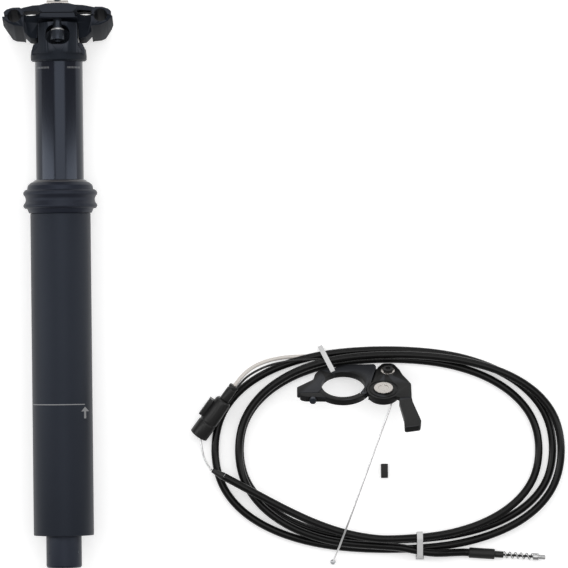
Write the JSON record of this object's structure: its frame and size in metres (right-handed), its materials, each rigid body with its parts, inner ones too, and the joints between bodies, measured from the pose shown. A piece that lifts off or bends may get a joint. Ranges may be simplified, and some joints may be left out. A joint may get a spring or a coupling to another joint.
{
  "type": "dropper seatpost",
  "caption": "Telescoping bicycle seatpost with a two-bolt saddle clamp and foot actuator, with its thumb remote and a tied coil of cable housing.",
  "frame": {"origin": "on the post axis, at the lower rim of the outer tube", "axes": "+Y along the post axis towards the saddle clamp, +X to the rider's right and towards the coil laid beside it, +Z out of the side that faces up as it lies; the flat surface it lies on is at z -0.019"},
  "size_m": [0.2861, 0.2918, 0.0522],
  "materials": {
    "tube_black": "satin anodised black",
    "stanchion_black": "polished hard-anodised black",
    "collar_black": "satin anodised black",
    "head_black": "forged and anodised satin black",
    "clamp_black": "machined and anodised satin black",
    "rubber_black": "matt moulded rubber",
    "bushing_plastic": "self-lubricating bearing plastic",
    "brass_keys": "machined brass",
    "cartridge_alloy": "machined aluminium",
    "shaft_steel": "ground and polished steel",
    "bolt_steel": "zinc-plated steel",
    "lever_alloy": "satin aluminium",
    "remote_black": "satin anodised black",
    "lever_black": "satin anodised black",
    "adjuster_black": "matt moulded nylon",
    "housing_black": "semi-gloss extruded jacket",
    "tie_white": "natural nylon",
    "liner_clear": "milky translucent tube",
    "ferrule_alloy": "plain aluminium",
    "cable_steel": "stranded stainless steel",
    "cable_dark": "coated cable"
  },
  "bodies": {
    "post": {"outer_tube": "tube_black", "seal_collar": "collar_black", "collar_cover": "rubber_black", "wiper_seal": "rubber_black", "upper_bushing": "bushing_plastic", "topout_bumper": "rubber_black", "bottom_cap": "collar_black", "actuator_pin": "shaft_steel", "cartridge_shaft": "shaft_steel", "shaft_piston": "cartridge_alloy", "shaft_nut": "shaft_steel", "bottomout_bumper": "rubber_black", "remote_body": "remote_black", "band_hinge_pin": "shaft_steel", "lever_pivot_bolt": "bolt_steel", "lever_return_spring": "shaft_steel", "adjuster_body": "adjuster_black", "adjuster_grip": "adjuster_black", "housing_coil": "housing_black", "cable_ties": "tie_white", "cable_liner": "liner_clear", "loose_ferrule": "ferrule_alloy", "housing_boot": "rubber_black", "end_ferrule": "collar_black", "cable_spring": "bolt_steel", "end_cable": "cable_steel", "cable_nipple": "ferrule_alloy", "adjuster_wire": "cable_steel", "housing_ferrule": "collar_black", "lever_wire": "cable_steel", "wire_bead": "ferrule_alloy", "inner_cable": "cable_dark"},
    "slider": {"inner_tube": "stanchion_black", "guide_keys": "brass_keys", "lower_bushing": "bushing_plastic", "cartridge_body": "cartridge_alloy", "cartridge_seal_head": "cartridge_alloy", "floating_piston": "bushing_plastic", "cartridge_retainer": "cartridge_alloy", "top_plug": "cartridge_alloy", "post_head": "head_black"},
    "saddle_clamp": {"lower_cradle": "clamp_black", "upper_clamp": "clamp_black", "clamp_bolts": "bolt_steel", "clamp_barrel_nuts": "bolt_steel", "clamp_washers": "bolt_steel"},
    "actuator": {"actuator_lever": "lever_alloy"},
    "release": {"release_pin": "shaft_steel"},
    "thumb_lever": {"remote_lever": "lever_black", "lever_bushing": "bushing_plastic", "cable_anchor_screw": "bolt_steel", "cable_anchor_washer": "bolt_steel"},
    "band": {"remote_band": "remote_black", "remote_clamp_bolt": "bolt_steel"},
    "barrel": {"adjuster_barrel": "adjuster_black"}
  },
  "joints": [
    {"name": "post_slide", "type": "slide", "parent": "post", "child": "slider", "axis": [0, 1, 0], "range_m": [-0.06, 0]},
    {"name": "saddle_tilt", "type": "hinge", "parent": "slider", "child": "saddle_clamp", "pos_m": [0, 0.2625, 0], "axis": [1, 0, 0], "range_deg": [-6, 6]},
    {"name": "actuator_pivot", "type": "hinge", "parent": "post", "child": "actuator", "pos_m": [0, -0.0086, 0.004], "axis": [1, 0, 0], "range_deg": [-18, 0]},
    {"name": "release_slide", "type": "slide", "parent": "post", "child": "release", "axis": [0, 1, 0], "range_m": [0, 0.00125], "stiffness_N_per_m": 100},
    {"name": "lever_pivot", "type": "hinge", "parent": "post", "child": "thumb_lever", "pos_m": [0.16458, 0.07162, 0.00474], "axis": [0, -0.8285, -0.56], "range_deg": [0, 30], "stiffness_Nm_per_rad": 0.05},
    {"name": "band_hinge", "type": "hinge", "parent": "post", "child": "band", "pos_m": [0.15417, 0.07027, 0.00674], "axis": [0, 0.8285, 0.56], "range_deg": [0, 60]},
    {"name": "barrel_turn", "type": "hinge", "parent": "post", "child": "barrel", "pos_m": [0.0693, 0.05, -0.0132], "axis": [0.5853, 0.7899, 0.1829], "continuous": true}
  ],
  "couplings": [
    {"joint": "actuator_pivot", "follows": "release_slide", "rad_per_m": -250}
  ]
}
